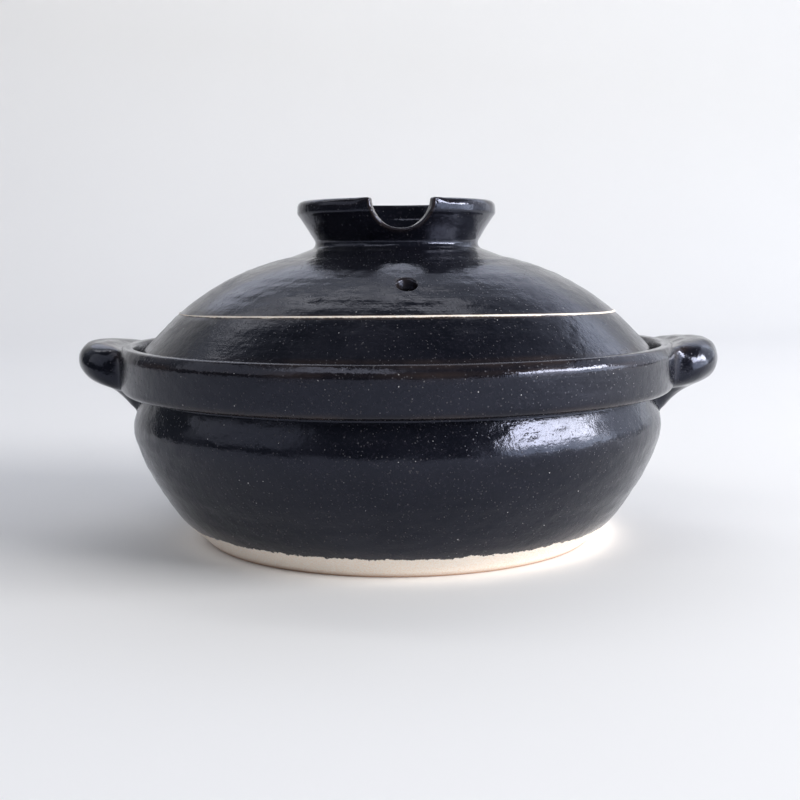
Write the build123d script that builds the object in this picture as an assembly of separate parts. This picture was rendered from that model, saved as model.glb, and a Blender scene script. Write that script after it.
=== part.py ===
from build123d import *
import os
from math import cos, hypot, radians, sin, sqrt, tan

# Donabe: a thrown clay pot with two ears, and a domed lid that sits inside the rim collar.
# The pot's axis is +Z, it stands on Z zero, and its ears point along -X and +X. Lengths are in millimetres.

# Foot of the bowl
foot_radius = 93.0
foot_bevel = 1.2
foot_width = 14.0
recess_depth = 2.6
recess_slope = 2.0

# Belly, neck and rim collar. The collar's radius drives the others, which are set in from it
collar_radius = 131.2
collar_lean = 0.8
collar_overhang = 9.6
belly_inset = 6.3
belly_height = 55.0
foot_flare_angle = 50.0
# Side of the bowl between foot and belly: shares of the radius gained and of the belly's height
belly_side_shares = ((0.32, 0.18), (0.575, 0.39), (0.81, 0.63), (0.945, 0.83))
neck_rise = 11.5
neck_lean_angle = 17.0
collar_gap = 3.7
collar_height = 21.5
collar_low_round = 4.2
shoulder_drop = 3.8
shoulder_round = 1.8
lip_inset = 2.3
lip_width = 4.5
lip_round = 1.6

# Gallery inside the collar, where the lid sits
gallery_depth = 9.7
gallery_lean = 1.9
ledge_width = 9.7
ledge_thickness = 6.0
ledge_nose_chamfer = 1.6
throat_flare = 1.2

# Inside of the bowl
wall = 8.0
floor_thickness = 8.0

# Lid dome: a crown arc and a shoulder arc, whose radii are shares of the lid's own radius
lid_clearance = 2.7
lid_wall = 7.2
lid_side_lean = 0.3
lid_edge_height = 7.5
lid_edge_round = 1.8
dome_edge_round = 3.0
seat_overhang = 0.6
seat_inner_round = 3.0
crown_share = 2.49
crown_angle = 8.8
shoulder_share = 0.951
shoulder_angle = 37.0
ring_share = 0.844
ring_width = 1.1
ring_depth = 0.5
lid_turn_angle = 3.0
steam_hole_diameter = 8.7
steam_hole_offset = 81.5

# Knob ring on top of the lid
knob_radius = 46.9
knob_rise = 21.7
knob_flare = 9.9
knob_waist_rise = 0.6
knob_waist_round = 4.0
knob_root_spread = 8.3
knob_root_drop = 4.4
knob_wall = 4.6
knob_lip_height = 7.2
knob_lip_overhang = 1.2
knob_lip_round = 1.5
notch_radius = 13.4

# Ears
ear_reach = 21.6
ear_rise = 1.9
ear_drop = 36.3
ear_half_angle = 16.0
ear_middle_share = 0.67
ear_end_tuck = 3.0
ear_end_share = 0.38
ear_station_shares = (-1.0, -0.85, -0.47, 0.0, 0.47, 0.85, 1.0)
# Section of an ear beyond the collar: shares of its reach and of its height
ear_section_shares = (
    (-0.42, 0.66),
    (-0.13, 0.905),
    (0.12, 0.925),
    (0.38, 0.985),
    (0.65, 1.0),
    (0.89, 0.92),
    (1.0, 0.76),
    (0.93, 0.585),
    (0.66, 0.455),
    (0.27, 0.35),
    (-0.04, 0.19),
    (-0.33, 0.02),
    (-0.54, 0.13),
)

# How far a cutter runs past what it cuts
overrun = 5.0

# Worked out from the sizes above: the bowl
recess_radius = foot_radius - foot_width
floor_height = recess_depth + floor_thickness
belly_radius = collar_radius - belly_inset
neck_radius = collar_radius - collar_overhang
neck_height = belly_height + neck_rise
collar_low_radius = collar_radius - collar_lean
collar_low_height = neck_height + collar_gap
lip_radius = collar_radius - lip_inset
lip_inner_radius = lip_radius - lip_width
lip_height = collar_low_height + collar_height
shoulder_height = lip_height - shoulder_drop
ledge_height = lip_height - gallery_depth
ledge_outer_radius = lip_inner_radius - gallery_lean
ledge_inner_radius = ledge_outer_radius - ledge_width
throat_radius = ledge_inner_radius + throat_flare
throat_height = ledge_height - ledge_thickness
inside_radius = belly_radius - wall
inside_corner_radius = belly_height - floor_height
floor_radius = inside_radius - inside_corner_radius

# Worked out: the lid
lid_radius = ledge_outer_radius - lid_clearance
lid_side_radius = lid_radius - lid_side_lean
seat_inner_radius = ledge_inner_radius - seat_overhang
crown_radius = lid_side_radius * crown_share
shoulder_radius = lid_side_radius * shoulder_share
crown_turn = radians(crown_angle)
skirt_turn = radians(crown_angle + shoulder_angle)
crown_drop = crown_radius * (1 - cos(crown_turn))
shoulder_arc_drop = shoulder_radius * (cos(crown_turn) - cos(skirt_turn))
arcs_reach = crown_radius * sin(crown_turn) + shoulder_radius * (sin(skirt_turn) - sin(crown_turn))
skirt_drop = (lid_side_radius - arcs_reach) * tan(skirt_turn)
dome_height = lid_edge_height + skirt_drop + shoulder_arc_drop + crown_drop
dome_top = ledge_height + dome_height

# Worked out: the knob ring and the ears
knob_waist_radius = knob_radius - knob_flare
knob_waist_height = dome_top + knob_waist_rise
knob_root_radius = knob_waist_radius + knob_root_spread
knob_root_height = knob_waist_height - knob_root_drop
knob_height = dome_top + knob_rise
knob_lip_base = knob_height - knob_lip_height
knob_lip_root = knob_radius - knob_lip_overhang
ear_top = lip_height + ear_rise
ear_low = lip_height - ear_drop
ear_middle_height = ear_low + (ear_top - ear_low) * ear_middle_share


def between(low, high, share):
    """The value that lies at a share of the way from low to high."""
    return low + (high - low) * share


def turned(outline):
    """The solid that a closed outline of (radius, height) edges makes when it turns about the pot's axis."""
    return revolve(Plane.XZ * make_face(outline), axis=Axis.Z)


def belly_curve():
    """Outer side of the bowl: flares out of the foot, swells to the belly and tucks in to the neck."""
    rising = [
        (between(foot_radius, belly_radius, r), between(foot_bevel, belly_height, h))
        for r, h in belly_side_shares
    ]
    flare = radians(foot_flare_angle)
    lean = radians(neck_lean_angle)
    return Spline(
        (foot_radius, foot_bevel),
        *rising,
        (belly_radius, belly_height),
        (neck_radius, neck_height),
        tangents=((cos(flare), sin(flare)), (-sin(lean), cos(lean))),
    )


def collar_corner():
    """Where the neck, carried on in a straight line, meets the underside of the collar."""
    rise = collar_low_height - neck_height
    return (neck_radius - rise * tan(radians(neck_lean_angle)), collar_low_height)


def bowl_outline():
    """Half section of the bowl: foot, belly, collar, lip, gallery ledge, throat and inner side."""
    foot = Polyline(
        (0, recess_depth),
        (recess_radius, recess_depth),
        (recess_radius + recess_slope, 0),
        (foot_radius - foot_bevel, 0),
        (foot_radius, foot_bevel),
    )
    rim = FilletPolyline(
        collar_corner(),
        (collar_low_radius, collar_low_height),
        (collar_radius, shoulder_height),
        (lip_radius, lip_height),
        (lip_inner_radius, lip_height),
        (ledge_outer_radius, ledge_height),
        radius=(collar_low_round, shoulder_round, lip_round, lip_round),
    )
    ledge = Polyline(
        (ledge_outer_radius, ledge_height),
        (ledge_inner_radius + ledge_nose_chamfer, ledge_height),
        (ledge_inner_radius, ledge_height - ledge_nose_chamfer),
        (throat_radius, throat_height),
    )
    neck = Line((neck_radius, neck_height), collar_corner())
    side = TangentArc((inside_radius, belly_height), (throat_radius, throat_height), tangent=(0, 1))
    corner = CenterArc((floor_radius, belly_height), inside_corner_radius, -90, 90)
    middle = Polyline((floor_radius, floor_height), (0, floor_height), (0, recess_depth))
    curves = (foot, belly_curve(), neck, rim, ledge, side, corner, middle)
    return [edge for curve in curves for edge in curve.edges()]


def bowl_block():
    """The bowl's outer shape with no hollow, which the ears are trimmed against."""
    foot = Polyline((0, lip_height), (0, 0), (foot_radius - foot_bevel, 0), (foot_radius, foot_bevel))
    rim = FilletPolyline(
        collar_corner(),
        (collar_low_radius, collar_low_height),
        (collar_radius, shoulder_height),
        (lip_radius, lip_height),
        (lip_inner_radius, lip_height),
        radius=(collar_low_round, shoulder_round, lip_round),
    )
    neck = Line((neck_radius, neck_height), collar_corner())
    top = Line((lip_inner_radius, lip_height), (0, lip_height))
    return turned(foot.edges() + belly_curve().edges() + neck.edges() + rim.edges() + top.edges())


def ear_steps():
    """Running length round the ear's middle section, which every section uses so that the loft stays smooth."""
    closed = ear_section_shares + ear_section_shares[:1]
    height = ear_top - ear_low
    sides = [
        hypot((far[0] - near[0]) * ear_reach, (far[1] - near[1]) * height)
        for near, far in zip(closed, closed[1:])
    ]
    return [sum(sides[:count]) for count in range(len(closed))]


def ear_section(share):
    """Closed section of an ear on an upright plane through the pot's axis, at a share of its half angle.

    The reach falls off as a power of one minus the share squared, so that in plan the ear is a half moon.
    At both ends the section has shrunk until it lies inside the collar."""
    swell = 1 - share * share
    reach = ear_reach * swell**0.75
    tuck = ear_end_tuck * (1 - sqrt(swell))
    height_share = between(ear_end_share, 1, sqrt(swell))
    angle = radians(ear_half_angle * share)
    points = []
    for out, up in ear_section_shares:
        depth = out * (reach if out > 0 else ear_reach) - tuck
        level = between(ear_low, ear_top, up)
        height = between(ear_middle_height, level, height_share)
        radius = collar_radius + depth
        points.append((radius * cos(angle), radius * sin(angle), height))
    return Wire([Edge.make_spline(points, periodic=True, parameters=ear_steps())])


def make_bowl():
    """The thrown shell, in one piece from foot to lip."""
    return turned(bowl_outline())


def make_ear():
    """The ear on the right: a lug lofted through sections round the collar, with its web down to the neck."""
    lug = Solid.make_loft([ear_section(share) for share in ear_station_shares])
    return lug - bowl_block()


def dome_arcs(inset):
    """One face of the dome in two tangent arcs, a crown and a shoulder, set in from the glazed face."""
    crown = JernArc((0, dome_top - inset), (1, 0), crown_radius - inset, -crown_angle)
    shoulder = JernArc(crown @ 1, crown % 1, shoulder_radius - inset, -shoulder_angle)
    return crown, shoulder


def skirt_height(shoulder, radius):
    """Height at which the line that carries on from the end of a shoulder arc reaches a radius."""
    end = shoulder @ 1
    return end.Y - (radius - end.X) * tan(skirt_turn)


def dome_edge(outer_shoulder, inner_shoulder):
    """The lid's edge from shoulder to shoulder: down the outside, along the flat that rests on the ledge, and up."""
    return FilletPolyline(
        outer_shoulder @ 1,
        (lid_side_radius, skirt_height(outer_shoulder, lid_side_radius)),
        (lid_radius, ledge_height),
        (seat_inner_radius, ledge_height),
        (seat_inner_radius, skirt_height(inner_shoulder, seat_inner_radius)),
        inner_shoulder @ 1,
        radius=(dome_edge_round, lid_edge_round, lid_edge_round, seat_inner_round),
    )


def crown_block():
    """A ball that carries the dome's crown arc on, which the knob ring is trimmed against."""
    return Pos(0, 0, dome_top - crown_radius) * Sphere(crown_radius)


def ring_cutter(shoulder):
    """A thin band, turned about the pot's axis, that scores the ring through the dome's glazed face."""
    place = shoulder @ ring_share
    slope = crown_angle + shoulder_angle * ring_share
    band = Pos(place.X, place.Y) * Rot(0, 0, -slope) * Rectangle(ring_width, 2 * ring_depth)
    return revolve(Plane.XZ * band, axis=Axis.Z)


def towards_front(shape):
    """A cutter laid out on the lid's own front line, turned with the lid."""
    return Rot(0, 0, lid_turn_angle) * shape


def make_lid_dome():
    """The domed lid: a thin shell with its seat ring, the ring scored through the glaze, and the steam hole."""
    outside = dome_arcs(0)
    inside = dome_arcs(lid_wall)
    middle = Line((0, dome_top), (0, dome_top - lid_wall))
    edge = dome_edge(outside[1], inside[1])
    curves = (*outside, middle, *inside, edge)
    shell = turned([piece for curve in curves for piece in curve.edges()])
    hole = Cylinder(steam_hole_diameter / 2, dome_height + 2 * overrun)
    hole_middle = ledge_height + dome_height / 2
    return shell - ring_cutter(outside[1]) - towards_front(Pos(0, -steam_hole_offset, hole_middle) * hole)


def knob_outline():
    """Half section of the knob: root on the dome, waist, flared side, rounded lip and the inside of the cup."""
    side = FilletPolyline(
        (knob_root_radius, knob_root_height),
        (knob_waist_radius, knob_waist_height),
        (knob_lip_root, knob_lip_base),
        radius=knob_waist_round,
    )
    lip = FilletPolyline(
        (knob_lip_root, knob_lip_base),
        (knob_radius, knob_lip_base + knob_lip_overhang),
        (knob_radius, knob_height),
        (knob_radius - knob_wall, knob_height),
        (knob_lip_root - knob_wall, knob_lip_base),
        radius=(knob_lip_overhang / 2, knob_lip_round, knob_lip_round),
    )
    cup = Polyline(
        (knob_lip_root - knob_wall, knob_lip_base),
        (knob_waist_radius - knob_wall, knob_waist_height),
        (knob_waist_radius - knob_wall, knob_root_height),
        (knob_root_radius, knob_root_height),
    )
    return side.edges() + lip.edges() + cup.edges()


def make_lid_knob():
    """The knob ring, trimmed to the dome it is luted onto, with a half-round notch through its front."""
    ring = turned(knob_outline()) - crown_block()
    reach = knob_radius + overrun
    notch = Pos(0, -reach / 2, knob_height) * Rot(90, 0, 0) * Cylinder(notch_radius, reach)
    return ring - towards_front(notch)


def main():
    """Makes the five pieces and writes each one to its own file."""
    right_ear = make_ear()
    pieces = {
        "bowl": make_bowl(),
        "handle_left": mirror(right_ear, about=Plane.YZ),
        "handle_right": right_ear,
        "lid_dome": make_lid_dome(),
        "lid_knob": make_lid_knob(),
    }
    os.makedirs("parts", exist_ok=True)
    for name, shape in pieces.items():
        export_step(shape, f"parts/{name}.step")


main()
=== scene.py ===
import bpy
import numpy as np
from mathutils import Matrix, Vector


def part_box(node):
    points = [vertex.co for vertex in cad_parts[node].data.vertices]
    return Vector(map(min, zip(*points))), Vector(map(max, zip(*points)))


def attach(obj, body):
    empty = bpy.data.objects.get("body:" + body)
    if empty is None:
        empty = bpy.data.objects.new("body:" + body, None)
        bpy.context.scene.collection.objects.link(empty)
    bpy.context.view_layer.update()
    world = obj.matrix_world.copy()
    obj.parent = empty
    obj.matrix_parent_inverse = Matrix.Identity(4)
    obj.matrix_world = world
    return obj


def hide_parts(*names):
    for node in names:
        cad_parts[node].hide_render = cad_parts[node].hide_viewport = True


# A donabe in black glaze over pale clay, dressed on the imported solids. All lengths are in metres.
# Every piece is a surface of two parameters: a place along an outline and an angle round the pot.

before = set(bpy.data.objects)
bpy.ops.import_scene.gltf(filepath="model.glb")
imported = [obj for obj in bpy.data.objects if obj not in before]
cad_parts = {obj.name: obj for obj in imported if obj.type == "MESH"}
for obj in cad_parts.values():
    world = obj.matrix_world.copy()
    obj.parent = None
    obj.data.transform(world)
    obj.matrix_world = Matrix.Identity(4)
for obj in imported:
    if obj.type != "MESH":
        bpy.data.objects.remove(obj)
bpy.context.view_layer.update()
bowl_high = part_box("bowl")[1]
lid_low, lid_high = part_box("lid_dome")
knob_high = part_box("lid_knob")[1]

scene = bpy.context.scene
mm = 0.001

# Meshes: columns round the pot, longest step and turn along an outline, and lengths that count as none
columns = 360
row_step = 1.9 * mm
arc_turn = np.radians(11)
around = np.linspace(-np.pi, np.pi, columns, endpoint=False)
same_point = 1e-7
tiny = 1e-12

# Room left for unevenness inside the CAD box, at the collar and at the flat rims
collar_room = 0.12 * mm
rim_room = 0.05 * mm

# Unevenness: seed, number of waves, ranges of their turns round the pot and lengths along it, and height
bowl_rings = (3, 40, (0, 4), (6 * mm, 20 * mm), 0.045 * mm)
bowl_lumps = (11, 90, (8, 60), (5 * mm, 22 * mm), 0.05 * mm)
dome_rings = (5, 40, (0, 5), (5 * mm, 14 * mm), 0.055 * mm)
dome_lumps = (23, 110, (8, 70), (5 * mm, 20 * mm), 0.035 * mm)
knob_lumps = (31, 30, (1, 9), (9 * mm, 30 * mm), 0.05 * mm)
ear_lumps = (40, (8, 70), (8 * mm, 26 * mm), 0.08 * mm)

# Foot, belly and neck
collar_radius = bowl_high.x - collar_room
lip_height = bowl_high.z - rim_room
foot_radius = 93.0 * mm
foot_bevel = 1.2 * mm
foot_width = 14.0 * mm
foot_rounds = (1.2 * mm, 0.9 * mm, 0.7 * mm)
recess_depth = 2.6 * mm
recess_slope = 2.0 * mm
belly_radius = collar_radius - 6.2 * mm
belly_height = 55.0 * mm
foot_flare_angle = 50.0
belly_side_shares = ((0.32, 0.18), (0.575, 0.39), (0.81, 0.63), (0.945, 0.83))
neck = (collar_radius - 9.5 * mm, lip_height - 25.2 * mm)
neck_lean_angle = 17.0

# Rim collar, lip and the gallery that the lid sits in
collar_low = lip_height - 21.5 * mm
lip_outer = collar_radius - 2.3 * mm
lip_inner = lip_outer - 4.5 * mm
ledge_outer = lip_inner - 1.9 * mm
ledge_inner = ledge_outer - 9.7 * mm
ledge = lip_height - 9.7 * mm
rim_corners = (
    (collar_radius - 0.8 * mm, collar_low),
    (collar_radius, lip_height - 3.8 * mm),
    (lip_outer, lip_height),
    (lip_inner, lip_height),
    (ledge_outer, ledge),
    (ledge_inner, ledge),
)
ledge_thickness = 6.0 * mm
throat_flare = 1.2 * mm
rim_rounds = (1.4 * mm, 4.2 * mm, 6.0 * mm, 1.7 * mm, 1.6 * mm, 0.9 * mm, 1.8 * mm)
wall = 8.0 * mm
floor_thickness = 8.0 * mm
side_angles = (-79, -90)

# Where the bowl's unevenness begins past the glaze's lower edge, calms past the neck and ends past the lip
bowl_thrown = (-4 * mm, 14 * mm)
bowl_calm = 0.72
bowl_calmed = (-2 * mm, 4 * mm)
bowl_ended = (4 * mm, 12 * mm)

# Where the glaze stops: above the foot, and off the ledge and the seat ring, which stay bare
foot_glaze_height = 10.1 * mm
gallery_bare = (0.5 * mm, 0.6 * mm)
seat_bare = 0.9 * mm
far_from_edge = 20 * mm
# Where glaze is thin and bare clay toasted near edges, and where a warm contact shade is painted along the
# foot's bottom edge
foot_contact_shade = (foot_radius - 0.5 * mm, 0.4 * mm)
bowl_thin_reach = 1.4 * mm
seat_thin_place = 12 * mm
seat_thin_reach = 1.5 * mm
hole_thinness = 0.6
hole_thin_reach = 0.9 * mm

# Lid dome: its arcs' radii are shares of its side's
dome_top = lid_high.z
ledge_height = lid_low.z
lid_radius = lid_high.x
side_radius = lid_radius - 0.3 * mm
lid_wall = 7.2 * mm
crown_share = 2.49
crown_angle = 8.8
shoulder_share = 0.951
shoulder_angle = 37.0
seat_inner = lid_radius - 7.5 * mm
dome_rounds = (3.0 * mm, 1.8 * mm, 1.8 * mm, 3.0 * mm)
dome_thrown = (30 * mm, 52 * mm)
dome_ended = (-2 * mm, 6 * mm)

# Scored ring: its own rows, its shoulders as shares of its width, and how it narrows, calms and wanders
ring_share = 0.844
ring_width = 1.05 * mm
ring_depth = 0.35 * mm
ring_rows = 21
ring_rows_reach = 1.3 * mm
ring_rows_room = 1.8 * mm
ring_shoulders = (0.36, 0.62)
ring_narrowing = 0.7
ring_narrow_cosines = (0.75, 1.0)
ring_calm = 0.6
ring_calm_reach = 3 * mm
ring_front_rise = 1.2 * mm
ring_side_drop = 3.2 * mm
ring_slide_reach = 9.0 * mm

# Steam hole, at the front of the turned lid, in a block that reaches some rows and columns to each side
lid_turn_angle = 3.0
lid_front = np.radians(lid_turn_angle - 90)
hole_radius = 4.35 * mm
hole_offset = 81.5 * mm
hole_round = 0.9 * mm
hole_turns = np.radians((15, 30, 45, 60, 75, 90))
hole_rings = 5
hole_rows = 4
hole_columns = 6

# Knob ring: its outside from the skirt to the lip, and its inside from the well, as (out from the waist, up)
knob_radius = knob_high.x - rim_room
knob_top = knob_high.z
knob_wall = 4.6 * mm
knob_flare = 9.7 * mm
knob_waist_rise = 0.6 * mm
knob_lip_height = 7.0 * mm
knob_lip_overhang = 0.8 * mm
knob_lip_round = 3.0 * mm
knob_inner_round = 1.2 * mm
knob_band_radius = 44.4 * mm
knob_band_drop = 2.1 * mm
knob_skirt_radius = 48.5 * mm
knob_skirt_edge = 4.0 * mm
knob_skirt_lifts = (-0.25 * mm, 0.35 * mm)
knob_rounds = (5.0 * mm, 3.0 * mm, 3.0 * mm, 3.0 * mm, 1.8 * mm)
knob_well = ((-1.6 * mm, -0.6 * mm), (-0.2 * mm, 1.2 * mm), (0.6 * mm, 2 * mm))
knob_well_rounds = (1.2 * mm, 5 * mm, 4 * mm)
knob_steps = (0.7 * mm, 0.9 * mm)
knob_foot_rise = 3.5 * mm
knob_side_rows = 33
knob_edge_turns = np.radians((18, 36, 54, 72, 90))
knob_thrown = (1 * mm, 8 * mm)
knob_thrown_room = 2 * mm
knob_wear = 0.35
knob_wear_reach = 1.1 * mm

# Notch in the knob's rim: its corners' rounds touch its circle and the flat rim, with their centres at its
# brow. Then the steps of the rim's path, how far it reaches, and the columns beyond it.
notch_radius = 13.4 * mm
notch_corner = 1.1 * mm
notch_edge_round = 0.9 * mm
notch_steps = (0.45 * mm, 0.25 * mm, 0.8 * mm)
notch_brow = np.sqrt(notch_radius**2 + 2 * notch_radius * notch_corner)
notch_reach = 26 * mm
notch_blend = 7 * mm
notch_worn_drop = 0.4 * mm
rest_columns = 150

# Ears: section beyond the collar at the middle of the right ear, as (out, height), from the lip to the neck
ear_section = np.array((
    (-1.9, 92.2), (0.6, 92.3), (3.2, 92.8), (6.4, 93.3), (10.5, 93.6), (15.2, 93.2), (19.3, 90.7),
    (21.5, 86.2), (20.9, 80.6), (18.2, 76.5), (13.8, 73.5), (7.8, 70.6), (2.2, 66.6), (-2.8, 62.3),
    (-6.6, 58.6),
)) * mm
ear_end_angles = (-35, -120)
ear_step = 0.55 * mm
ear_columns = 101
ear_back_step = 6
ear_top_count = 8
ear_sink = 0.25 * mm
ear_root_depth = 4.0 * mm
ear_root_share = 0.09
ear_least_swell = 0.06
# Half the angle of the lug's root, how far the lug swells past it, how much wider the root is at the lip and
# narrower at the foot of the web, the heights between web and lug, the hollow at the collar, and the bridge
# drawn brown and lighter, partly as glaze worn thin and partly as a painted highlight
ear_root_angle = 14.4
ear_lug_spread = 1.5
ear_lip_flare = 1.5
ear_web_taper = 6.0
ear_web_heights = (60.0 * mm, 86.0 * mm)
ear_fillet_angle = 1.3
ear_fillet_depth = 1.6 * mm
ear_bridge_share = 0.11
ear_bridge_reach = 0.07
ear_bridge_wear_and_highlight = 0.9
# Each ear's piece and node, side, share of the section's reach, rise of its underside, and seed
ears = (
    ("ear_left", "handle_left", -1, 0.955, 1.3 * mm, 42),
    ("ear_right", "handle_right", 1, 0.997, -1.1 * mm, 41),
)

# Glazes: gloss, haze, how ragged the edge is, and shares of specks and of wheel marks
glazes = {
    "pot_glaze_over_bare_foot": (0.12, 0.12, 1.6, 1.0, 1.0),
    "lid_glaze_over_scored_ring": (0.15, 0.13, 0.16, 0.8, 1.7),
    "knob_glaze": (0.09, 0.06, 0.1, 0.35, 0.5),
    "ear_glaze": (0.08, 0.05, 0.1, 0.3, 0.3),
}

# Glaze and clay colours, as linear red, green and blue
glaze_black = (0.0028, 0.0032, 0.0055)
glaze_slate = (0.0060, 0.0062, 0.0100)
glaze_grey = (0.0105, 0.010, 0.0145)
glaze_brown = (0.040, 0.027, 0.021)
speck_pale = (0.42, 0.41, 0.41)
speck_grey = (0.060, 0.055, 0.055)
clay_cream = (0.95, 0.89, 0.81)
clay_warm = (0.90, 0.73, 0.57)
# Bare clay's darker tone: toasted near bare edges, and a painted warm contact shade along the foot's bottom
# edge
clay_toast_and_contact_shade = (0.42, 0.20, 0.09)
glaze_glance = (0.72, 0.77, 1.0, 1)
glaze_bend = 1.43
least_roughness = 0.06
clay_roughness = 0.88

# Relief of the glaze and the clay, in millimetres
relief_unit = 1 * mm
hump_relief = 0.24
grain_relief = 0.025
wheel_relief = 0.035
pit_relief = -0.10
speck_relief = 0.03
glaze_relief = 0.22
clay_relief = 0.16

# Camera, worked out from the photograph's ellipses, in a square frame
camera_place = (0.0012, -0.575, 0.1319)
camera_tilt = 6.83
camera_roll = -0.36
camera_sensor = 36.0
camera_lens = 53.82
camera_clip = 0.01

# Studio sweep: where it stands, how far it bends, rises and spreads, and its two shades
sweep_front, sweep_back = -5.0, 2.4
sweep_bend, sweep_rise, sweep_half = 1.1, 2.6, 3.0
sweep_step, sweep_arc_step, sweep_lines = 0.4, 0.1, 9
sweep_shades = ((0.83, 0.825, 0.82), (0.85, 0.845, 0.84))

# Lights: name, place, aim, width and height, power and colour
pot_middle = (0, 0, 0.05)
lights = (
    ("window", (2.03, -0.80, 0.80), pot_middle, (1.65, 0.42), 68, (1.0, 0.99, 0.99)),
    ("window_sill", (2.03, -0.70, 0.30), pot_middle, (2.3, 0.45), 16, (0.85, 0.91, 1.0)),
    ("window_glow", (2.2, 0.75, 0.95), pot_middle, (2.6, 1.7), 18, (0.82, 0.88, 1.0)),
    ("left_panel", (-2.0, -0.7, 1.25), pot_middle, (2.4, 1.4), 8, (0.95, 0.96, 1.0)),
    ("back_soft_light", (0.25, 1.6, 1.35), pot_middle, (3.2, 0.7), 5.5, (0.66, 0.74, 1.0)),
    ("front_soft_light", (-1.0, -1.9, 2.5), pot_middle, (2.2, 0.8), 14.5, (1.0, 0.98, 0.96)),
    ("wall_wash", (-0.7, 1.0, 2.3), (-0.3, 2.4, 0.5), (3.0, 0.6), 14.5, (1.0, 0.98, 0.95)),
)

# The dim cool room: low down, at the ceiling, and behind the sweep
room_low = (0.09, 0.10, 0.12)
room_ceiling = (0.60, 0.64, 0.74)
room_seen = (0.86, 0.87, 0.88)


# Outlines

def straight(start, end, step=row_step):
    """Points from start to end on the line between them, evenly spaced at about a step."""
    count = int(np.ceil(np.hypot(*np.subtract(end, start)) / step)) + 1
    return np.linspace(start, end, max(2, count))


def arc(centre, radius, first, last, step=row_step):
    """Points on a circle: centre plus radius times cosine and sine of angles from first to last degrees."""
    turn = np.radians(abs(last - first))
    count = int(np.ceil(max(turn / arc_turn, turn * radius / step))) + 1
    return np.asarray(centre) + radius * np.stack(direction(np.linspace(first, last, count)), 1)


def rounded(corners, rounds, step=row_step):
    """An outline through corners, each inner corner replaced by the arc that touches both of its sides.

    The arc's centre lies a radius away from both sides, and its ends lie a radius times the tangent of half
    the turn away from the corner."""
    corners = np.asarray(corners, float)
    last = corners[0]
    runs = []
    for before, corner, after, radius in zip(corners, corners[1:], corners[2:], rounds):
        inward, outward = unit(corner - before), unit(after - corner)
        turn = np.arctan2(inward[0] * outward[1] - inward[1] * outward[0], inward @ outward)
        reach = radius * np.tan(abs(turn) / 2)
        touch = corner - inward * reach
        centre = touch + np.sign(turn) * radius * np.array([-inward[1], inward[0]])
        first = np.degrees(np.arctan2(*(touch - centre)[::-1]))
        runs += [straight(last, touch, step), arc(centre, radius, first, first + np.degrees(turn), step)]
        last = runs[-1][-1]
    return joined(*runs, straight(last, corners[-1], step))


def flowing(points, leave, arrive, step=row_step):
    """A smooth run through points: the cubic spline on their running distance, with its end directions given.

    The slopes at the points solve the usual three-term equations that make the bend continuous as well."""
    points = np.asarray(points, float)
    places = distances(points)
    gaps = np.diff(places)
    steepness = np.diff(points, axis=0) / gaps[:, None]
    count = len(points)
    system = np.eye(count)
    target = np.zeros_like(points)
    inner = np.arange(1, count - 1)
    system[inner, inner - 1] = gaps[1:]
    system[inner, inner] = 2 * (gaps[:-1] + gaps[1:])
    system[inner, inner + 1] = gaps[:-1]
    target[1:-1] = 3 * (gaps[1:, None] * steepness[:-1] + gaps[:-1, None] * steepness[1:])
    target[0], target[-1] = leave, arrive
    slopes = np.linalg.solve(system, target)
    at = np.linspace(0, places[-1], int(np.ceil(places[-1] / step)) + 1)
    piece = np.clip(np.searchsorted(places, at, side="right") - 1, 0, count - 2)
    share = ((at - places[piece]) / gaps[piece])[:, None]
    gap = gaps[piece][:, None]
    start, end = points[piece], points[piece + 1]
    return (start + (end - start) * ease(0, 1, share)
            + gap * slopes[piece] * share * (1 - share) ** 2
            - gap * slopes[piece + 1] * share * share * (1 - share))


def joined(*runs):
    """One outline from several runs, with the points that fall on the one before left out."""
    points = np.concatenate(runs)
    apart = np.linalg.norm(np.diff(points, axis=0), axis=1) > same_point
    return points[np.concatenate([[True], apart])]


def distances(outline):
    """Distance along an outline from its first point to each of its points."""
    return np.concatenate([[0], np.cumsum(np.linalg.norm(np.diff(outline, axis=0), axis=1))])


def unit(vectors):
    """Vectors brought to a length of one."""
    return vectors / np.maximum(np.linalg.norm(vectors, axis=-1, keepdims=True), tiny)


def facing(outline):
    """Unit direction square to an outline at each of its points, to the right of its travel."""
    travel = unit(np.gradient(outline, axis=-2))
    return np.stack([travel[..., 1], -travel[..., 0]], -1)


def direction(angle):
    """Unit (radius, height) step that rises at an angle from level, in degrees."""
    return np.cos(np.radians(angle)), np.sin(np.radians(angle))


# Hand-made unevenness

def waves(seed, count, rounds, length, size):
    """Slow unevenness of the thrower's hands, as a function of angle and distance along the outline.

    It is a sum of cosines, scaled to a size. Each has a whole number of waves round the pot, so that it
    closes on itself, and a wave length along the outline, both drawn from the ranges given."""
    chance = np.random.default_rng(seed)
    turns = chance.integers(rounds[0], rounds[1] + 1, count) * chance.choice((-1, 1), count)
    pitch = 2 * np.pi / np.exp(chance.uniform(*np.log(length), count))
    phase = chance.uniform(0, 2 * np.pi, count)

    def height(angle, along):
        total = sum(np.cos(turn * angle + wave * along + start)
                    for turn, wave, start in zip(turns, pitch, phase))
        return total * size * np.sqrt(2 / count)

    return height


def bell(gap, reach):
    """One at no gap, falling off with e to the power of minus the square of the gap over the reach."""
    return np.exp(-((gap / reach) ** 2))


def ease(low, high, value):
    """Nought below low, one above high, between them three times the share's square less twice its cube."""
    share = np.clip((value - low) / (high - low), 0, 1)
    return share * share * (3 - 2 * share)


# Meshes

def stand(name, data):
    """Puts an object that shows a mesh, a light or a camera into the scene."""
    thing = bpy.data.objects.new(name, data)
    scene.collection.objects.link(thing)
    return thing


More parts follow.
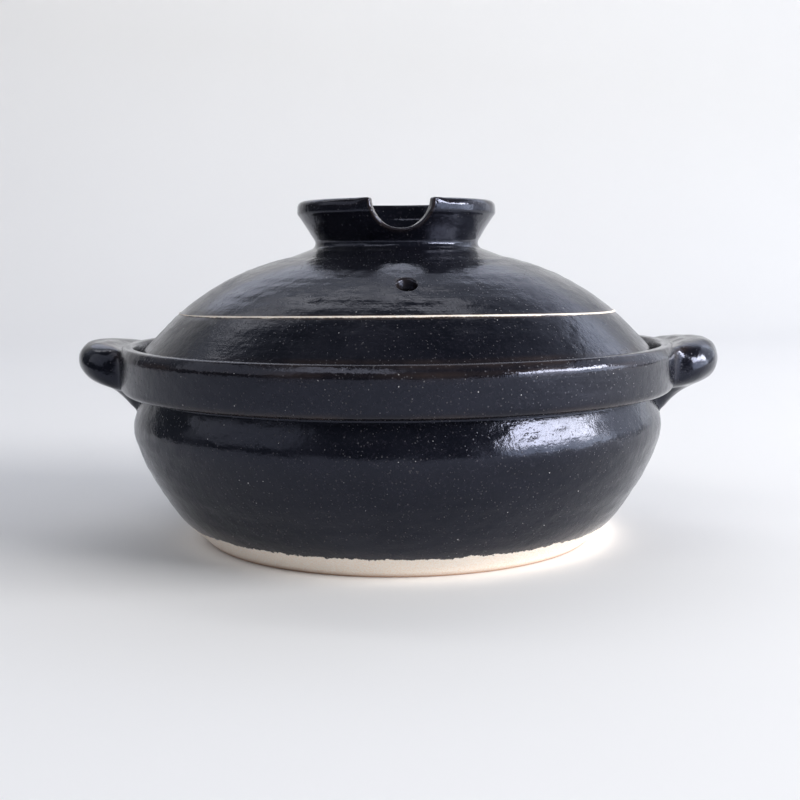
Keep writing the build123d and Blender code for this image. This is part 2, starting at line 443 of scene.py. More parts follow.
def add_mesh(name, points, faces, material):
    """A smooth-shaded mesh of points, faces and a material, put into the scene."""
    mesh = bpy.data.meshes.new(name)
    mesh.from_pydata(points.tolist(), [], faces)
    mesh.polygons.foreach_set("use_smooth", np.ones(len(mesh.polygons), bool))
    mesh.materials.append(material)
    return stand(name, mesh)


def make_piece(name, points, blocks, body, node, glaze, glaze_edge, thin, along):
    """Puts points and blocks of faces into a mesh, and hangs it on a body in place of a node.

    Its material reads each point's distance to the glaze's edge, how thin glaze is there, and its distance
    along the outline. The thinness also carries a painted warm contact shade at the foot and a painted
    highlight on the ears' bridges. The sign of the summed volume of the tetrahedra from the origin to each
    face tells which way faces point, and they are turned outward side out."""
    used, faces = tidy(len(points), blocks)
    points = points[used]
    triangles = np.array([(f[0], f[i], f[i + 1]) for f in faces for i in range(1, len(f) - 1)])
    a, b, c = (points[triangles[:, i]] for i in range(3))
    if np.einsum("ij,ij->", a, np.cross(b, c)) < 0:
        faces = [face[::-1] for face in faces]
    material = bpy.data.materials.get(glaze) or glaze_over_clay(glaze, *glazes[glaze])
    piece = add_mesh(name, points, faces, material)
    for label, values in (("glaze_edge", glaze_edge), ("thin", thin), ("along", along)):
        measure = piece.data.attributes.new(label, "FLOAT", "POINT")
        measure.data.foreach_set("value", values[used].astype(np.float32))
    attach(piece, body)
    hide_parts(node)


def quads(rows, across, loop_rows=False, loop_across=True):
    """Corner numbers of the faces of a grid, which can close on itself in both directions."""
    i = np.arange(rows if loop_rows else rows - 1)[:, None]
    j = np.arange(across if loop_across else across - 1)[None, :]
    below, right = (i + 1) % rows, (j + 1) % across
    corners = np.stack([i * across + j, i * across + right, below * across + right, below * across + j], -1)
    return corners.reshape(-1, 4)


def between(upper, lower):
    """Corner numbers of the faces between closed rings of points and the rings after them."""
    corners = np.stack([upper, np.roll(upper, -1, -1), np.roll(lower, -1, -1), lower], -1)
    return corners.reshape(-1, 4)


def carried(radius, angle, height):
    """Points round the axis: x is the radius times the cosine of the angle, y the radius times its sine."""
    return np.stack([radius * np.cos(angle), radius * np.sin(angle), height], -1)


def read(values, along, place):
    """Pairs of values at the points along an outline, read between them at places."""
    return np.stack([np.interp(place, along, column) for column in values.T], -1)


def turned(outline, relief, slide=None):
    """A surface turned about the pot's axis, as a function of angle and distance along the outline.

    The place slides along the outline, and the point there moves out along its own facing by the relief."""
    along = distances(outline)
    square = facing(outline)

    def surface(angle, place):
        slid = place + slide(angle, place) if slide else place
        spot = read(outline, along, slid) + relief(angle, place)[..., None] * read(square, along, slid)
        return carried(spot[..., 0], angle, spot[..., 1])

    return surface


def shell(surface, angles, along):
    """Points and faces of a surface whose first and last rows lie on the axis, and become one point each."""
    faces = quads(len(along), columns)
    last = (len(along) - 1) * columns
    faces[faces < columns] = 0
    faces[faces >= last] = last
    return surface(angles[None, :], along[:, None]).reshape(-1, 3), faces


def tidy(count, blocks):
    """Leaves out points that no face uses and corners that a face names twice.

    Gives the numbers of the used points, and the faces in terms of these."""
    used = np.unique(np.concatenate([np.ravel(block) for block in blocks]))
    number = np.full(count, -1)
    number[used] = np.arange(len(used))
    loops = []
    for block in blocks:
        block = number[block]
        same = block == np.roll(block, 1, axis=1)
        whole = ~same.any(axis=1)
        loops += block[whole].tolist()
        loops += block[~whole][~same[~whole]].reshape(-1, block.shape[1] - 1).tolist()
    return used, loops


def from_bands(along, bands):
    """Distance along the outline to the nearest bare band: positive on glaze, negative on bare clay."""
    gaps = [np.maximum(first - along, along - last) for first, last in bands]
    return np.min(gaps, axis=0)


def near_edges(along, places, reach):
    """One at some places along an outline, falling off over a reach as a bell curve does."""
    return bell(np.abs(along[:, None] - places).min(axis=1), reach)


def place_of(outline, along, radius, height):
    """Distance along an outline of its point nearest to a radius and a height."""
    return along[np.argmin(np.hypot(outline[:, 0] - radius, outline[:, 1] - height))]


# The bowl

def bowl_outline():
    """Closed half section of the bowl: along the underside, up the outside and down the inside."""
    recess_radius = foot_radius - foot_width
    underside = rounded((
        (0, recess_depth),
        (recess_radius, recess_depth),
        (recess_radius + recess_slope, 0),
        (foot_radius - foot_bevel, 0),
        (foot_radius, foot_bevel),
    ), foot_rounds)
    low, widest = np.array((foot_radius, foot_bevel)), np.array((belly_radius, belly_height))
    belly = flowing((low, *low + (widest - low) * belly_side_shares, widest, neck),
                    direction(foot_flare_angle), direction(90 + neck_lean_angle))
    crease = (neck[0] - (collar_low - neck[1]) * np.tan(np.radians(neck_lean_angle)), collar_low)
    throat = (ledge_inner + throat_flare, ledge - ledge_thickness)
    rim = rounded((neck, crease, *rim_corners, throat), rim_rounds)
    floor_height = recess_depth + floor_thickness
    inside_radius = belly_radius - wall
    corner_radius = belly_height - floor_height
    side = flowing((throat, (inside_radius, belly_height)), *map(direction, side_angles))
    corner = arc((inside_radius - corner_radius, belly_height), corner_radius, 0, -90)
    floor = straight(corner[-1], (0, floor_height))
    return joined(underside, belly, rim, side, corner, floor)


def make_bowl():
    """The thrown bowl: its closed section turned about the axis, with the slow unevenness of throwing."""
    outline = bowl_outline()
    along = distances(outline)
    outside = (outline[:, 0] > foot_radius - foot_width) & (along < along[np.argmax(outline[:, 1])])
    foot_edge = np.interp(foot_glaze_height, outline[outside, 1], along[outside])
    neck_place, contact_shade_place, *thin_places, band_start, band_end = (
        place_of(outline, along, *spot) for spot in (neck, foot_contact_shade, *rim_corners))
    rings, lumps = waves(*bowl_rings), waves(*bowl_lumps)

    def relief(angle, place):
        thrown = ease(*bowl_thrown, place - foot_edge)
        calm = 1 - bowl_calm * ease(*bowl_calmed, place - neck_place)
        ends = 1 - ease(*bowl_ended, place - thin_places[2])
        return thrown * calm * ends * (rings(angle, place) + lumps(angle, place))

    points, faces = shell(turned(outline, relief), around, along)
    bands = ((-1, foot_edge), (band_start - gallery_bare[0], band_end + gallery_bare[1]))
    glaze_edge = np.repeat(from_bands(along, bands), columns)
    # Thin glaze near the rim's corners, and at the foot's bottom edge a painted warm contact shade
    thin = np.repeat(near_edges(along, (contact_shade_place, *thin_places), bowl_thin_reach), columns)
    make_piece("bowl_thrown_shell", points, [faces], "pot", "bowl", "pot_glaze_over_bare_foot",
               glaze_edge, thin, np.repeat(along, columns))


# The lid

def dome_face(inset, near_ring):
    """One face of the dome from the axis outwards: a crown arc and a shoulder arc that touch, both set in.

    Near the scored ring the points lie closer, so that the groove has its own rows."""
    crown_radius, shoulder_radius = side_radius * crown_share, side_radius * shoulder_share
    crown_centre = np.array([0, dome_top - crown_radius])
    meet = 90 - crown_angle
    shoulder_centre = crown_centre + np.array(direction(meet)) * (crown_radius - shoulder_radius)
    crown = arc(crown_centre, crown_radius - inset, 90, meet)
    last = meet - shoulder_angle
    radius = shoulder_radius - inset
    even = np.arange(meet, last, -np.degrees(row_step / radius))
    ring = meet - shoulder_angle * ring_share
    if near_ring:
        fine = ring + np.degrees(np.linspace(-ring_rows_reach, ring_rows_reach, ring_rows) / radius)
        even = np.concatenate([even[np.abs(even - ring) > np.degrees(ring_rows_room / radius)], fine])
    angles = np.sort(np.append(even, last))[::-1]
    return joined(crown, shoulder_centre + radius * np.stack(direction(angles), 1))


def dome_outline():
    """Closed half section of the lid: over the dome, down the edge, along the seat and back under it."""
    over = dome_face(0, True)
    under = dome_face(lid_wall, False)[::-1]
    slope = np.tan(np.radians(crown_angle + shoulder_angle))
    edge = rounded((
        over[-1],
        (side_radius, over[-1, 1] - (side_radius - over[-1, 0]) * slope),
        (lid_radius, ledge_height),
        (seat_inner, ledge_height),
        (seat_inner, under[0, 1] - (seat_inner - under[0, 0]) * slope),
        under[0],
    ), dome_rounds)
    return joined(over, edge, under), len(over)


def steam_hole(outline, surface, turn, row, middle, sign):
    """One mouth of the steam hole: rings of points from a block of the dome's grid in to the hole's wall.

    The block lies round a row and the middle column, and the hole's centre at an angle called turn. Points
    slide, in angle and distance along the outline, from the block's own edge to a circle round the hole. The
    last rings turn down into the hole on a quarter circle: the radius shrinks by the sine and the drop grows
    by one less the cosine."""
    along = distances(outline)
    columns_in = middle + np.arange(-hole_columns, hole_columns + 1)
    rows_in = row + np.arange(-hole_rows, hole_rows + 1)
    block = np.stack(np.meshgrid(rows_in, columns_in, indexing="ij"), -1)
    block = np.concatenate([block[0, :-1], block[:-1, -1], block[-1, :0:-1], block[:0:-1, 0]])
    block_angle = turn + (block[:, 1] - middle) * 2 * np.pi / columns
    block_along = along[block[:, 0]]
    outward = rows_in[::sign]
    hole_along = np.interp(hole_offset, outline[outward, 0], along[outward])
    spin = np.arctan2(block_along - hole_along, (block_angle - turn) * hole_offset)

    def on_circle(radius):
        across = radius * np.cos(spin)
        out = hole_offset + sign * radius * np.sin(spin)
        place = np.interp(np.hypot(out, across), outline[outward, 0], along[outward])
        return turn + np.arctan2(across, out), place

    rings = []
    mouth_angle, mouth_along = on_circle(hole_radius + hole_round)
    for share in np.linspace(0, 1, hole_rings + 1)[1:]:
        angle = block_angle + (mouth_angle - block_angle) * share
        place = block_along + (mouth_along - block_along) * share
        rings.append(surface(angle, place))
    for turn_in in hole_turns:
        ring = surface(*on_circle(hole_radius + hole_round * (1 - np.sin(turn_in))))
        ring[:, 2] -= sign * hole_round * (1 - np.cos(turn_in))
        rings.append(ring)
    return block[:, 0] * columns + block[:, 1], np.array(rings)


def make_lid_dome():
    """The domed lid, with the scored ring sunk into it and the steam hole let through both of its faces."""
    outline, over_count = dome_outline()
    along = distances(outline)
    over_end = along[over_count - 1]
    crown_length = crown_share * np.radians(crown_angle)
    ring_length = crown_length + shoulder_share * np.radians(shoulder_angle) * ring_share
    ring_place = along[np.argmin(np.abs(along - side_radius * ring_length))]
    rings, lumps = waves(*dome_rings), waves(*dome_lumps)

    def ring_width_at(angle):
        closing = ease(*ring_narrow_cosines, np.cos(angle - lid_front + np.pi / 2))
        return ring_width * (1 - ring_narrowing * closing)

    def relief(angle, place):
        thrown = ease(*dome_thrown, place) * (1 - ease(*dome_ended, place - over_end))
        groove = 1 - ease(*ring_shoulders, np.abs(place - ring_place) / ring_width_at(angle))
        calm = 1 - ring_calm * bell(place - ring_place, ring_calm_reach)
        return thrown * calm * (rings(angle, place) + lumps(angle, place)) - ring_depth * groove

    def slide(angle, place):
        wander = ring_side_drop * np.sin(angle - lid_front) ** 2 - ring_front_rise
        return wander * bell(place - ring_place, ring_slide_reach)

    angles = lid_front + around
    middle = columns // 2
    surface = turned(outline, relief, slide)
    points, faces = shell(surface, angles, along)
    grid_size = len(points)

    over_row = int(np.argmin(np.abs(outline[:over_count, 0] - hole_offset)))
    under_row = over_count + int(np.argmin(np.hypot(
        outline[over_count:, 0] - hole_offset,
        np.maximum(ledge_height + 2 * lid_wall - outline[over_count:, 1], 0))))
    strips, mouths, removed = [], [], np.zeros(len(faces), bool)
    face_row, face_column = np.divmod(np.arange(len(faces)), columns)
    beside = (face_column >= middle - hole_columns) & (face_column < middle + hole_columns)
    for row, sign in ((over_row, 1), (under_row, -1)):
        edge, mouth = steam_hole(outline, surface, angles[middle], row, middle, sign)
        removed |= beside & (face_row >= row - hole_rows) & (face_row < row + hole_rows)
        numbers = len(points) + np.arange(mouth[..., 0].size).reshape(mouth.shape[:2])
        numbers = np.concatenate([edge[None], numbers])
        points = np.concatenate([points, mouth.reshape(-1, 3)])
        strips.append(between(numbers[:-1], numbers[1:]))
        mouths.append(numbers[-1])
    upper, lower = mouths[0], np.roll(mouths[1][::-1], 1)
    apart = np.linalg.norm((points[lower] - points[upper[0]])[:, :2], axis=1)
    well = between(upper, np.roll(lower, -np.argmin(apart)))
    faces = np.concatenate([faces[~removed], *strips, well])

    seat_start = place_of(outline, along, lid_radius, ledge_height) - seat_bare
    seat_end = place_of(outline, along, seat_inner, ledge_height) + seat_bare
    seat_gap = np.repeat(from_bands(along, ((seat_start, seat_end),)), columns)
    ring_gap = (np.abs(along[:, None] - ring_place) - ring_width_at(angles)[None, :] / 2).ravel()
    hole_middle = carried(hole_offset, lid_front, 0)[:2]
    hole_gap = np.linalg.norm(points[:, :2] - hole_middle, axis=1) - hole_radius
    near_seat = np.repeat(near_edges(along, (over_end + seat_thin_place,), seat_thin_reach), columns)
    spare = np.zeros(len(points) - grid_size)
    make_piece("lid_thrown_dome", points, [faces], "lid", "lid_dome", "lid_glaze_over_scored_ring",
               np.concatenate([np.minimum(seat_gap, ring_gap), spare + far_from_edge]),
               np.maximum(np.concatenate([near_seat, spare]),
                          hole_thinness * bell(hole_gap, hole_thin_reach)),
               np.concatenate([np.repeat(along, columns), spare + along[over_row]]))


# The knob ring

def knob_faces():
    """Outer and inner side of the ring knob as (radius, height) runs that rise from the dome to the lip."""
    dome = dome_face(0, False)

    def on_dome(radius, lift):
        return radius, np.interp(radius, dome[:, 0], dome[:, 1]) + lift

    waist_radius = knob_radius - knob_flare
    waist_height = dome_top + knob_waist_rise
    lip_root = (knob_radius - knob_lip_overhang, knob_top - knob_lip_height)
    outer = rounded((
        on_dome(knob_skirt_radius + knob_skirt_edge, knob_skirt_lifts[0]),
        on_dome(knob_skirt_radius, knob_skirt_lifts[1]),
        (knob_band_radius, dome_top - knob_band_drop),
        (waist_radius, waist_height),
        lip_root,
        (knob_radius, lip_root[1] + knob_lip_overhang),
        (knob_radius, knob_top),
    ), knob_rounds, knob_steps[0])
    inner_waist = waist_radius - knob_wall
    root, foot, bend = knob_well
    inner_dome = on_dome(inner_waist, 0)[1]
    inner = rounded((
        (inner_waist + root[0], inner_dome + root[1]),
        (inner_waist + foot[0], inner_dome + foot[1]),
        (inner_waist + bend[0], waist_height + bend[1]),
        (lip_root[0] - knob_wall, lip_root[1]),
        (knob_radius - knob_wall, knob_top),
    ), knob_well_rounds, knob_steps[1])
    return outer, inner


def rim_path():
    """Half of the knob's rim, out from the notch's middle: (across, height) points and their inward facing.

    It is a quarter of the notch's circle, a small round that touches both that circle and the flat rim,
    and then the flat rim."""
    middle, brow_middle = np.array((0, knob_top)), np.array((notch_brow, knob_top - notch_corner))
    meet = np.degrees(np.arctan2(notch_corner, notch_brow))
    scoop = arc(middle, notch_radius, -90, -meet, notch_steps[0])
    brow = arc(brow_middle, notch_corner, 180 - meet, 90, notch_steps[1])
    flat = straight((notch_brow, knob_top), (notch_reach, knob_top), notch_steps[2])
    return (np.concatenate([scoop, brow[1:], flat[1:]]),
            np.concatenate([(scoop - middle) / notch_radius, (brow_middle - brow[1:]) / notch_corner,
                            np.tile((0.0, -1.0), (len(flat) - 1, 1))]))


def make_lid_knob():
    """The ring knob. Each upright line of the grid runs up the outside to the rim, over it and down inside.

    At the front the rim dips into the half-round notch, and the lines there end on the notch's edge. An edge
    is rounded by moving the rim's path into the clay by one less the sine, as the wall's depth grows by one
    less the cosine."""
    outer, inner = knob_faces()
    half, half_facing = rim_path()
    length = distances(half) / distances(half)[-1]
    top = np.concatenate([half[:0:-1] * (-1, 1), half, np.tile((0, knob_top), (rest_columns, 1))])
    face = np.concatenate([half_facing[:0:-1] * (-1, 1), half_facing, np.tile((0, -1), (rest_columns, 1))])
    edge_angle = np.arcsin(notch_reach / (knob_radius - knob_wall / 2))
    rest = np.linspace(edge_angle, 2 * np.pi - edge_angle, rest_columns + 2)[1:-1]
    base_angle = np.concatenate([-length[:0:-1] * edge_angle, length * edge_angle, rest])
    on_path = np.arange(len(top)) < len(top) - rest_columns

    def radius_on(run, height):
        return np.interp(height, run[:, 1], run[:, 0])

    def top_angle(across, height):
        radius = (radius_on(outer, height) + radius_on(inner, height)) / 2
        return np.where(on_path, np.arcsin(across / radius), base_angle)

    on_rim = np.where(on_path, ease(0, notch_blend, np.abs(top[:, 0]) - notch_brow), 1.0)
    rows = []
    for run, side, rim_round in ((outer, 1, knob_lip_round), (inner, -1, knob_inner_round)):
        edge_round = notch_edge_round + (rim_round - notch_edge_round) * on_rim
        rim_across, rim_height = (top + edge_round[:, None] * face).T
        low_rows = run[run[:, 1] < dome_top + knob_foot_rise]
        side_rows = [np.broadcast_arrays(base_angle, radius, height, 0.0) for radius, height in low_rows]
        start_height = low_rows[-1, 1]
        way = top_angle(rim_across, rim_height) - base_angle
        for share in np.linspace(0, 1, knob_side_rows + 1)[1:]:
            height = start_height + (rim_height - start_height) * share
            angle = base_angle + way * ease(0, 1, share)
            thin = bell(rim_height - height, knob_wear_reach)
            side_rows.append((angle, radius_on(run, height), height, thin))
        for turn in knob_edge_turns:
            across, height = (top + (edge_round * (1 - np.sin(turn)))[:, None] * face).T
            radius = radius_on(run, rim_height) - side * edge_round * (1 - np.cos(turn))
            side_rows.append((top_angle(across, height), radius, height, np.ones_like(radius)))
        rows += side_rows[::side]
    angle, radius, height, thin = np.swapaxes(np.array(rows), 0, 1)
    in_wall = ease(*knob_thrown, height - dome_top) * (height < knob_top - knob_thrown_room)
    radius = radius + in_wall * waves(*knob_lumps)(angle, height)
    points = carried(radius, lid_front + angle, height)
    faces = quads(len(rows), len(top), loop_rows=True)
    wear = thin * np.where(top[:, 1] < knob_top - notch_worn_drop, 1.0, knob_wear)
    make_piece("lid_knob_ring", points.reshape(-1, 3), [faces], "lid", "lid_knob", "knob_glaze",
               np.full(height.size, far_from_edge), wear.ravel(), height.ravel())


# The ears

def ear_cap(front_count, step):
    """Triangles that close one end of an ear's loop, in a band inside the wall between its front and back.

    Each edge of the front joins the back's point behind it, and each edge of the back joins the front's."""
    front = np.arange(front_count - 1)
    behind = front_count + (front_count - 1 - front) // step
    turns = front[1:][np.diff(behind) < 0]
    return np.concatenate([
        np.stack([behind, front + 1, front], -1),
        np.stack([turns, behind[turns] + 1, behind[turns]], -1),
    ])


def make_ear(name, node, side, reach_share, rise, seed):
    """An ear: the bowl's own outline pushed out, round the collar, into the ear's section.

    Each point is the bowl's point plus a swell times the way from there to the ear's section. The swell is
    the cosine of a turn that runs from minus to plus a quarter circle from end to end. The angle round the
    pot is the root's angle times the turn's sine, plus a spread times sine times cosine squared, plus a
    fillet that fades with e to the power of minus the distance out over the fillet's depth. The loop closes
    inside the wall."""
    section = ear_section * np.where(ear_section > 0, (reach_share, 1), 1)
    section[ear_top_count:, 1] += rise
    ear = flowing(section + (collar_radius, 0), *map(direction, ear_end_angles), ear_step)
    outline = bowl_outline()
    along = distances(outline)
    first, last = (place_of(outline, along, *ear[end]) for end in (0, -1))
    ear_length = distances(ear)
    share = ear_length / ear_length[-1]
    place = first + (last - first) * share
    skin, square = read(outline, along, place), read(facing(outline), along, place)
    sunk = skin - square * ear_sink
    below_lip = ease(0, ear_root_share, share)
    rooted = below_lip * ease(0, ear_root_share, 1 - share)
    least = ear_least_swell * (share > 0) * (share < 1)
    push = (ear - sunk) * (rooted * (1 - ear_least_swell) + least)[:, None]
    back = (skin - square * ear_root_depth)[::-ear_back_step]

    turn = np.linspace(-np.pi / 2, np.pi / 2, ear_columns)[:, None]
    swell = np.cos(turn)
    front = sunk[None] + swell[..., None] * push[None]
    lug = ease(*ear_web_heights, ear[:, 1])
    fillet = ear_fillet_angle * np.exp(-swell * np.linalg.norm(push, axis=1) / ear_fillet_depth)
    root_angle = ear_root_angle + ear_lip_flare * (1 - below_lip) - ear_web_taper * (1 - lug) + fillet
    angle = np.radians(root_angle * np.sin(turn) + ear_lug_spread * lug * np.sin(turn) * np.cos(turn) ** 2)
    uneven = waves(seed, *ear_lumps)(angle, ear_length[None]) * rooted * swell
    front = front + uneven[..., None] * facing(front)
    loop = np.concatenate([front, np.broadcast_to(back, (len(turn), *back.shape))], axis=1)
    root = np.broadcast_to(np.radians(ear_root_angle) * np.sin(turn), (len(turn), len(back)))
    angle = np.concatenate([angle, root], axis=1)
    points = carried(loop[..., 0], angle, loop[..., 1]).reshape(-1, 3) * (side, 1, 1)
    across = angle.shape[1]
    cap = ear_cap(len(share), ear_back_step)
    far_cap = (len(turn) - 1) * across + cap[:, ::-1]
    thin = np.zeros(angle.shape)
    # The bridge from the lip onto the ear turns brown and lighter: glaze worn thin, and partly a painted
    # highlight
    thin[:, :len(share)] = ear_bridge_wear_and_highlight * bell(share - ear_bridge_share, ear_bridge_reach)
    make_piece(name, points, [quads(len(turn), across), cap, far_cap], "pot", node, "ear_glaze",
               np.full(len(points), far_from_edge), thin.ravel(), points[:, 2])


# Finishes: node groups for the effects that the glazes share

def new_group(name, inputs, build):
    """A shader node group in which build works out named values from a place and other inputs."""
    group = bpy.data.node_groups.new(name, "ShaderNodeTree")
    for label in ("Place", *inputs):
        kind = "NodeSocketVector" if label == "Place" else "NodeSocketFloat"
        group.interface.new_socket(label, in_out="INPUT", socket_type=kind)
    results = build(group, group.nodes.new("NodeGroupInput").outputs)
    for label in results:
        group.interface.new_socket(label, in_out="OUTPUT", socket_type="NodeSocketFloat")
    out = group.nodes.new("NodeGroupOutput").inputs
    for label, value in results.items():
        group.links.new(value, out[label])
    return group


def put(tree, kind, values=(), **settings):
    """Adds a node, gives it its settings, and fills inputs by name or number with links or plain values."""
    node = tree.nodes.new("ShaderNode" + kind)
    for label, value in settings.items():
        setattr(node, label, value)
    for label, value in dict(values).items():
        if isinstance(value, bpy.types.NodeSocket):
            tree.links.new(value, node.inputs[label])
        else:
            node.inputs[label].default_value = value
    return node


def maths(tree, operation, first, second=0.0, third=0.0):
    """One sum, product or comparison of two or three values."""
    return put(tree, "Math", {0: first, 1: second, 2: third}, operation=operation).outputs[0]


def times(tree, first, second):
    """The product of two values."""
    return maths(tree, "MULTIPLY", first, second)


def plus(tree, total, *terms):
    """A total with terms added to it, each of which is a value and its weight."""
    for value, weight in terms:
        total = maths(tree, "MULTIPLY_ADD", value, weight, total)
    return total


def ramp(tree, value, low, high, to_low=0.0, to_high=1.0):
    """A value carried smoothly from one range into another, and held at the ends."""
    node = put(tree, "MapRange", {0: value, 1: low, 2: high, 3: to_low, 4: to_high})
    node.interpolation_type = "SMOOTHSTEP"
    return node.outputs[0]


def noise(tree, place, scale, detail=3.0, roughness=0.5):
    """Cloudy noise from nought to one at a scale in waves per metre."""
    looks = {"Vector": place, "Scale": scale, "Detail": detail, "Roughness": roughness}
    return put(tree, "TexNoise", looks).outputs["Fac"]


def specks_in_cells(group, given):
    """Grains in the glaze: round dots, at most one in each cell, in a chance share of the cells."""
    cells = put(group, "TexVoronoi", {"Vector": given["Place"], "Scale": given["Scale"]})
    chance = put(group, "SeparateColor", {0: cells.outputs["Color"]}).outputs
    chosen = maths(group, "LESS_THAN", chance[0], given["Share"])
    size = times(group, given["Size"], ramp(group, chance[1], 0.0, 1.0, 0.45, 1.0))
    dot = ramp(group, cells.outputs["Distance"], times(group, size, 0.6), size)
    return {"Mask": times(group, maths(group, "SUBTRACT", 1.0, dot), chosen)}


def torn_edge(group, given):
    """Where glaze ends on bare clay: a distance, roughened by two noises, cut into a mask and a thin band."""
    slow = maths(group, "SUBTRACT", noise(group, given["Place"], 95.0, 2.0), 0.5)
    quick = maths(group, "SUBTRACT", noise(group, given["Place"], 620.0, 3.0, 0.65), 0.5)
    shift = plus(group, times(group, quick, 2.6), (slow, 3.2))
    edge_in_mm = plus(group, times(group, given["Edge"], 1 / mm), (shift, given["Ragged"]))
    return {"Glazed": ramp(group, edge_in_mm, -0.10, 0.10),
            "Thin": ramp(group, edge_in_mm, 0.1, 1.5, 1.0, 0.0)}


def wheel_lines(group, given):
    """Fine lines left by the wheel: noise that changes quickly along the outline and slowly round the pot."""
    slow = put(group, "VectorMath", {0: given["Place"], 3: 0.06}, operation="SCALE").outputs[0]
    shifted = put(group, "CombineXYZ", {2: given["Along"]}).outputs[0]
    place = put(group, "VectorMath", {0: slow, 1: shifted}, operation="ADD").outputs[0]
    return {"Height": noise(group, place, 700.0, 2.0), "Streak": noise(group, place, 170.0, 2.0)}


def pooling(group, given):
    """How the glaze lies: clouds, humps like orange peel, mottle and grain, each from nought to one."""
    looks = {"Cloud": (38.0, 4.0, 0.55), "Hump": (200.0, 3.5, 0.6), "Mottle": (750.0, 2.0, 0.6),
             "Grain": (1500.0, 3.0, 0.6)}
    return {label: noise(group, given["Place"], *look) for label, look in looks.items()}


def mix(tree, share, first, second):
    """A colour part of the way from the first to the second."""
    first, second = (colour if isinstance(colour, bpy.types.NodeSocket) else (*colour, 1)
                     for colour in (first, second))
    return put(tree, "Mix", {"Factor": share, 6: first, 7: second}, data_type="RGBA").outputs[2]


groups = {
    "specks": new_group("glaze_specks", ("Scale", "Share", "Size"), specks_in_cells),
    "edge": new_group("torn_glaze_edge", ("Edge", "Ragged"), torn_edge),
    "wheel": new_group("wheel_lines", ("Along",), wheel_lines),
    "pool": new_group("glaze_pooling", (), pooling),
}


def new_material(name):
    """An empty material and its node tree."""
    material = bpy.data.materials.new(name)
    material.use_nodes = True
    material.node_tree.nodes.clear()
    return material, material.node_tree


def shade(tree, looks):
    """Ends a material's node tree in a shader of the given looks."""
    put(tree, "OutputMaterial", {"Surface": put(tree, "BsdfPrincipled", looks).outputs[0]})


def glaze_over_clay(name, gloss, haze, ragged, specks, marks):
    """Black glaze with pale grains and pinholes, thin and brown at edges, over cream clay where it stops.

    The gloss is the roughness where the glaze lies thick, the haze is what satin patches add to it,
    ragged is how torn the glaze's edge is, and specks and marks scale the grains and the wheel's lines."""
    material, tree = new_material(name)
    place = put(tree, "TexCoord").outputs["Object"]
    edge_gap, thin_glaze_and_painted_light, along = (put(tree, "Attribute", attribute_name=label).outputs["Fac"]
                                  for label in ("glaze_edge", "thin", "along"))

    def effect(label, **values):
        return put(tree, "Group", {"Place": place, **values}, node_tree=groups[label]).outputs

    edge = effect("edge", Edge=edge_gap, Ragged=ragged)
    wheel = effect("wheel", Along=along)
    pool = effect("pool")
    fine, grains, bold, pits = (
        effect("specks", Scale=scale, Share=share, Size=size)["Mask"] for scale, share, size in (
            (620.0, 0.9 * specks, 0.26), (430.0, 0.55 * specks, 0.13), (300.0, 0.26 * specks, 0.10),
            (360.0, 0.55, 0.13)))
    pale = maths(tree, "MAXIMUM", times(tree, grains, 0.25), bold)
    speck = maths(tree, "MAXIMUM", fine, pale)
    glazed = edge["Glazed"]
    bare = maths(tree, "SUBTRACT", 1.0, glazed)

    # Worn rims and the ears' bridges turn brown; on the bridges this is partly a painted highlight
    wear_and_painted_highlight = times(tree, thin_glaze_and_painted_light, ramp(tree, pool["Cloud"], 0.38, 0.7, 0.15, 0.75))
    base = mix(tree, ramp(tree, pool["Cloud"], 0.3, 0.75), glaze_black, glaze_slate)
    for share, colour in (
        (ramp(tree, pool["Mottle"], 0.50, 0.72), glaze_grey),
        (times(tree, maths(tree, "MAXIMUM", edge["Thin"], wear_and_painted_highlight), 0.8), glaze_brown),
        (times(tree, fine, 0.6), speck_grey),
        (pale, speck_pale),
    ):
        base = mix(tree, share, base, colour)
    clay = mix(tree, ramp(tree, pool["Grain"], 0.35, 0.75), clay_cream, clay_warm)
    # Bare clay turns toast near edges; along the foot's bottom edge this is a painted warm contact shade
    clay = mix(tree, times(tree, thin_glaze_and_painted_light, 0.85), clay, clay_toast_and_contact_shade)

    streak = maths(tree, "SUBTRACT", wheel["Streak"], 0.5)
    satin = plus(tree, gloss, (ramp(tree, pool["Cloud"], 0.35, 0.7), haze), (streak, 0.10), (speck, 0.25),
                 (thin_glaze_and_painted_light, -0.10))
    satin = maths(tree, "MAXIMUM", satin, least_roughness)

    relief = plus(tree, 0.0, (pool["Hump"], hump_relief), (pool["Grain"], grain_relief),
                  (wheel["Height"], wheel_relief * marks), (pits, pit_relief), (speck, speck_relief))
    height = plus(tree, 0.0, (relief, glazed), (glazed, glaze_relief),
                  (bare, times(tree, pool["Grain"], clay_relief)))
    bump = put(tree, "Bump", {"Height": height, "Distance": relief_unit})
    shade(tree, {
        "Base Color": mix(tree, glazed, clay, base),
        "Roughness": plus(tree, times(tree, bare, clay_roughness), (glazed, satin)),
        "Normal": bump.outputs["Normal"],
        "IOR": glaze_bend,
        "Specular Tint": glaze_glance,
    })
    return material


# The studio: a white sweep, a window at the right, and a camera where the photographer stood

def sweep_material():
    """Matt white paper with a faint mottle."""
    material, tree = new_material("white_sweep")
    mottle = noise(tree, put(tree, "TexCoord").outputs["Object"], 3.0)
    colour = mix(tree, mottle, *sweep_shades)
    shade(tree, {"Base Color": colour, "Roughness": 0.9, "Specular IOR Level": 0.2})
    return material


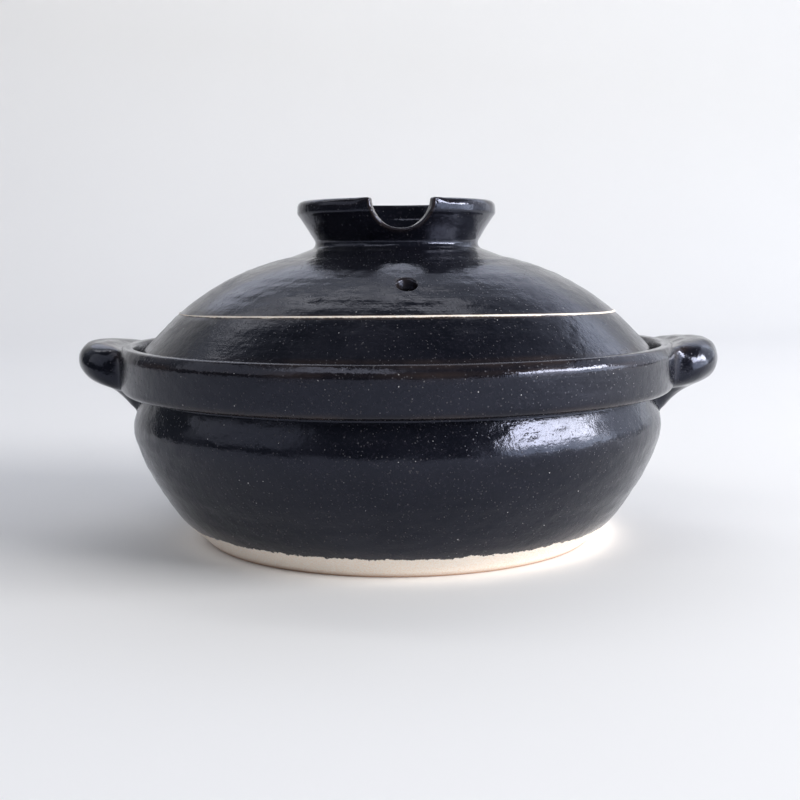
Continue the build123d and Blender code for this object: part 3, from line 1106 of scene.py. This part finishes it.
def make_sweep():
    """Floor and backdrop in one sheet: a level run, a quarter circle and an upright run, carried across."""
    profile = joined(
        straight((sweep_front, 0), (sweep_back - sweep_bend, 0), sweep_step),
        arc((sweep_back - sweep_bend, sweep_bend), sweep_bend, -90, 0, sweep_arc_step),
        straight((sweep_back, sweep_bend), (sweep_back, sweep_rise), sweep_step),
    )
    across = np.linspace(-sweep_half, sweep_half, sweep_lines)
    grid = np.stack(np.broadcast_arrays(across, profile[:, :1], profile[:, 1:]), -1)
    faces = quads(len(profile), sweep_lines, loop_across=False)
    sweep = add_mesh("sweep", grid.reshape(-1, 3), faces.tolist(), sweep_material())


def make_light(name, place, aim, size, power, colour):
    """A flat light of a given width and height that stands at a place and faces an aim."""
    light = bpy.data.lights.new(name, "AREA")
    light.shape = "RECTANGLE"
    light.size, light.size_y = size
    light.energy = power
    light.color = colour
    lamp = stand(name, light)
    lamp.location = place
    lamp.rotation_mode = "QUATERNION"
    lamp.rotation_quaternion = (Vector(aim) - Vector(place)).to_track_quat("-Z", "Y")


def make_studio():
    """The sweep, the dim room and the lights: a window at the right, and weaker ones round about."""
    make_sweep()
    world = bpy.data.worlds.new("room")
    world.use_nodes = True
    tree = world.node_tree
    seen = put(tree, "LightPath").outputs["Is Camera Ray"]
    way = put(tree, "SeparateXYZ", {0: put(tree, "TexCoord").outputs["Generated"]}).outputs
    bright = times(tree, ramp(tree, way[1], 0.0, 0.7), ramp(tree, way[2], 0.2, 0.6))
    tone = mix(tree, bright, room_low, room_ceiling)
    tone = mix(tree, seen, tone, room_seen)
    tree.links.new(tone, tree.nodes["Background"].inputs["Color"])
    scene.world = world
    for light in lights:
        make_light(*light)
    scene.view_settings.view_transform = "Standard"


def make_camera():
    """The camera, tipped down and turned a little about its own line of sight."""
    data = bpy.data.cameras.new("camera")
    data.sensor_width = camera_sensor
    data.lens = camera_lens
    data.clip_start = camera_clip
    camera = stand("camera", data)
    tip = Matrix.Rotation(np.radians(90 - camera_tilt), 4, "X")
    roll = Matrix.Rotation(np.radians(camera_roll), 4, "Z")
    camera.matrix_world = Matrix.Translation(camera_place) @ tip @ roll
    scene.camera = camera


make_camera()
make_studio()
make_bowl()
for ear in ears:
    make_ear(*ear)
make_lid_dome()
make_lid_knob()
